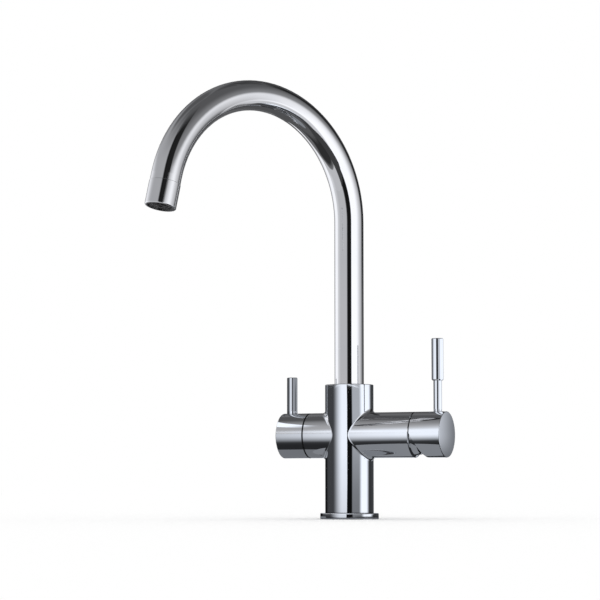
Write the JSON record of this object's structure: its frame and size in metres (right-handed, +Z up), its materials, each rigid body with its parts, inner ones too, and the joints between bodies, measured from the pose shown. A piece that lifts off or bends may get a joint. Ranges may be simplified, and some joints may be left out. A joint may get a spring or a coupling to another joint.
{
  "type": "side lever kitchen mixer tap",
  "caption": "Chrome gooseneck kitchen tap with a swivel spout, a side lever that mixes hot and cold water and a separate pin lever for filtered water.",
  "frame": {"origin": "centre of the base flange's underside, on the column's axis, in the worktop's plane", "axes": "+Z up along the column, +X along the mixer arm, -Y to the front of the tap"},
  "size_m": [0.1872, 0.2181, 0.3635],
  "materials": {
    "chrome": "polished",
    "brass": "satin",
    "stainless": "satin",
    "rubber": "matte",
    "white_acetal": "satin",
    "grey_plastic": "satin",
    "black_plastic": "satin",
    "white_ceramic": "satin",
    "natural_tube": "satin"
  },
  "bodies": {
    "tap_body": {"body": "chrome", "base_flange": "chrome", "cartridge_cover": "chrome", "filter_standpipe": "brass", "cartridge_nut": "brass", "valve_bonnet": "brass", "base_screws": "stainless", "spout_screw": "stainless", "base_gasket": "rubber", "standpipe_o_ring": "rubber", "cartridge_port_seals": "rubber", "valve_seat_seal": "rubber", "spout_guide_ring": "white_acetal", "cartridge_base": "grey_plastic", "cartridge_housing": "grey_plastic", "handle_glide_washer": "black_plastic", "cartridge_fixed_disc": "white_ceramic", "valve_fixed_disc": "white_ceramic"},
    "spout": {"spout_tube": "chrome", "spout_ferrule": "brass", "spout_o_rings": "rubber", "flow_divider": "white_acetal", "filter_tube": "natural_tube", "outlet_collar": "chrome", "aerator_seal": "rubber", "aerator_insert": "black_plastic", "filter_nozzle": "black_plastic"},
    "mixer_turning": {"cartridge_rotor": "grey_plastic", "cartridge_pivot_pin": "stainless"},
    "mixer_disc": {"cartridge_moving_disc": "white_ceramic", "cartridge_disc_carrier": "white_acetal"},
    "mixer_tilting": {"mixer_handle": "chrome", "mixer_lever": "chrome", "mixer_spindle": "brass", "mixer_handle_screw": "stainless"},
    "filter_turning": {"filter_handle": "chrome", "filter_lever": "chrome", "filter_handle_screw": "stainless", "valve_spindle": "brass", "valve_spindle_o_ring": "rubber", "valve_circlip": "stainless", "valve_rotating_disc": "white_ceramic"}
  },
  "joints": [
    {"name": "spout_swivel", "type": "hinge", "parent": "tap_body", "child": "spout", "pos_m": [0, 0, 0], "axis": [0, 0, 1], "continuous": true},
    {"name": "mixer_turn", "type": "hinge", "parent": "tap_body", "child": "mixer_turning", "pos_m": [0.06, 0, 0.0707], "axis": [1, 0, 0], "range_deg": [-45, 45]},
    {"name": "mixer_tilt", "type": "hinge", "parent": "mixer_turning", "child": "mixer_tilting", "pos_m": [0.06, 0, 0.0707], "axis": [0, 1, 0], "range_deg": [0, 25]},
    {"name": "disc_slide", "type": "slide", "parent": "mixer_turning", "child": "mixer_disc", "axis": [0, 0, 1], "range_m": [0, 0.0052]},
    {"name": "filter_turn", "type": "hinge", "parent": "tap_body", "child": "filter_turning", "pos_m": [-0.04, 0, 0.0707], "axis": [1, 0, 0], "range_deg": [0, 90]}
  ],
  "couplings": [
    {"joint": "disc_slide", "follows": "mixer_tilt", "m_per_rad": 0.01188}
  ]
}
